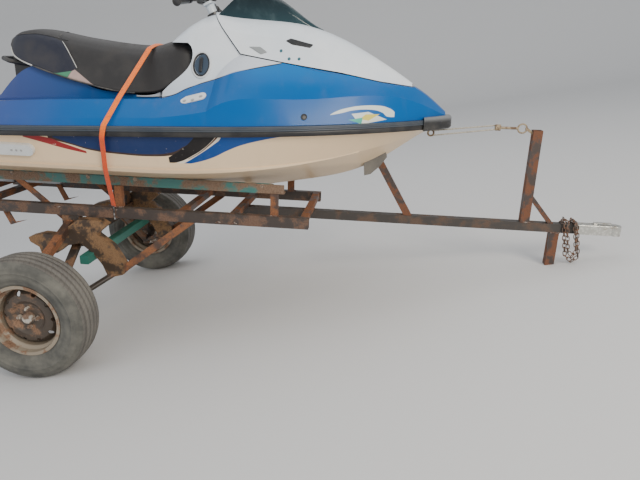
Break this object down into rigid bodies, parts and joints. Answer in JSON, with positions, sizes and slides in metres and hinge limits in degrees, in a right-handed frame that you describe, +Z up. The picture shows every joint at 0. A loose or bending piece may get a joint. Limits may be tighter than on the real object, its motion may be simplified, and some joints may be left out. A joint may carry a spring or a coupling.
{
  "type": "personal watercraft on trailer",
  "caption": "Sit-down personal watercraft with a saddle seat, handlebar, hinged front hatch and jet pump, tied down on a two-wheel bunk trailer that stands on its drawbar leg.",
  "frame": {"origin": "middle of the bounding box's bottom face, on the ground between the wheels and the coupler", "axes": "+X forward towards the coupler, +Y to port (left), +Z up"},
  "size_m": [3.8366, 1.7456, 1.7643],
  "materials": {
    "hull_cream": "faded cream gelcoat, glossy",
    "deck_blue": "blue metallic gelcoat, glossy",
    "cowl_white": "pale bluish white moulding, glossy",
    "seat_vinyl": "charcoal vinyl, matt",
    "rail_black": "black extrusion, semi-matt",
    "cap_grey": "dark silver-grey moulding",
    "black_plastic": "black moulding",
    "white_plastic": "white moulding",
    "windshield_tint": "slate teal tint, glossy",
    "pump_alloy": "dull cast alloy",
    "stainless": "brushed stainless",
    "zinc_steel": "pale zinc plate",
    "frame_steel": "dark paint, weathered",
    "rusty_steel": "dark red-brown paint with rust",
    "bunk_teal": "teal paint with rust patches",
    "bunk_green": "painted board",
    "tie_green": "dark teal paint, worn",
    "tyre_rubber": "worn grey-brown rubber",
    "rim_steel": "tan paint with rust",
    "hub_iron": "rusty cast iron",
    "chassis_iron": "dirty cast iron",
    "casting_rust": "old casting, rusty tan",
    "engine_iron": "dark casting",
    "strap_orange": "orange webbing",
    "line_white": "pale rope",
    "chain_steel": "dull chain steel"
  },
  "bodies": {
    "craft_and_trailer": {"hull": "hull_cream", "engine": "engine_iron", "seat": "seat_vinyl", "deck": "deck_blue", "rub_rail": "rail_black", "nose_cap": "cap_grey", "console": "cowl_white", "grab_handle": "black_plastic", "side_cap": "black_plastic", "deck_plates": "white_plastic", "sponsons": "white_plastic", "pump_housing": "pump_alloy", "ride_plate": "pump_alloy", "intake_grate": "pump_alloy", "column_socket": "black_plastic", "bow_eye": "stainless", "hatch_hinge": "stainless", "tie_strap": "strap_orange", "strap_hooks": "black_plastic", "bow_line": "line_white", "line_tensioner": "zinc_steel", "rail_right": "frame_steel", "rail_left": "frame_steel", "cross_members": "rusty_steel", "drawbar": "rusty_steel", "bunk_angles": "bunk_teal", "bunk_boards": "bunk_green", "bunk_posts": "rusty_steel", "bow_chock": "rail_black", "bow_arm": "rusty_steel", "winch_post": "rusty_steel", "stand_leg": "rusty_steel", "coupler": "zinc_steel", "subframe": "chassis_iron", "lower_arms": "chassis_iron", "knuckles": "chassis_iron", "castings": "casting_rust", "frame_braces": "rusty_steel", "upper_struts": "rusty_steel", "radius_braces": "rusty_steel", "cross_tie": "tie_green", "steering_rack": "chassis_iron", "safety_chain": "chain_steel"},
    "wheel_right": {"tyre_right": "tyre_rubber", "rim_right": "rim_steel", "hub_right": "hub_iron"},
    "wheel_left": {"tyre_left": "tyre_rubber", "rim_left": "rim_steel", "hub_left": "hub_iron"},
    "steering": {"steering_column": "white_plastic", "handlebar": "frame_steel", "grips": "rail_black", "throttle_lever": "black_plastic", "bar_pad": "black_plastic"},
    "jet_nozzle": {"steering_nozzle": "pump_alloy"},
    "front_hatch": {"hatch": "cowl_white", "windshield": "windshield_tint", "display": "black_plastic"},
    "impeller_shaft": {"impeller": "stainless"}
  },
  "joints": [
    {"name": "wheel_right_spin", "type": "hinge", "parent": "craft_and_trailer", "child": "wheel_right", "pos_m": [-1.19914, -0.775, 0.324], "axis": [0, 1, 0], "continuous": true},
    {"name": "wheel_left_spin", "type": "hinge", "parent": "craft_and_trailer", "child": "wheel_left", "pos_m": [-1.19914, 0.775, 0.324], "axis": [0, 1, 0], "continuous": true},
    {"name": "handlebar_turn", "type": "hinge", "parent": "craft_and_trailer", "child": "steering", "pos_m": [-0.16766, 0, 1.6319], "axis": [-0.2478, 0, 0.9688], "range_deg": [-25, 25]},
    {"name": "nozzle_turn", "type": "hinge", "parent": "craft_and_trailer", "child": "jet_nozzle", "pos_m": [-1.81082, 0, 1.08617], "axis": [0.1848, 0, 0.9828], "range_deg": [-20, 20]},
    {"name": "hatch_lift", "type": "hinge", "parent": "craft_and_trailer", "child": "front_hatch", "pos_m": [0.8518, 0, 1.12273], "axis": [0, 1, 0], "range_deg": [0, 60]},
    {"name": "impeller_spin", "type": "hinge", "parent": "craft_and_trailer", "child": "impeller_shaft", "pos_m": [-1.63196, 0, 1.05254], "axis": [0.9828, 0, -0.1848], "continuous": true}
  ],
  "couplings": [
    {"joint": "nozzle_turn", "follows": "handlebar_turn", "ratio": -0.8}
  ]
}
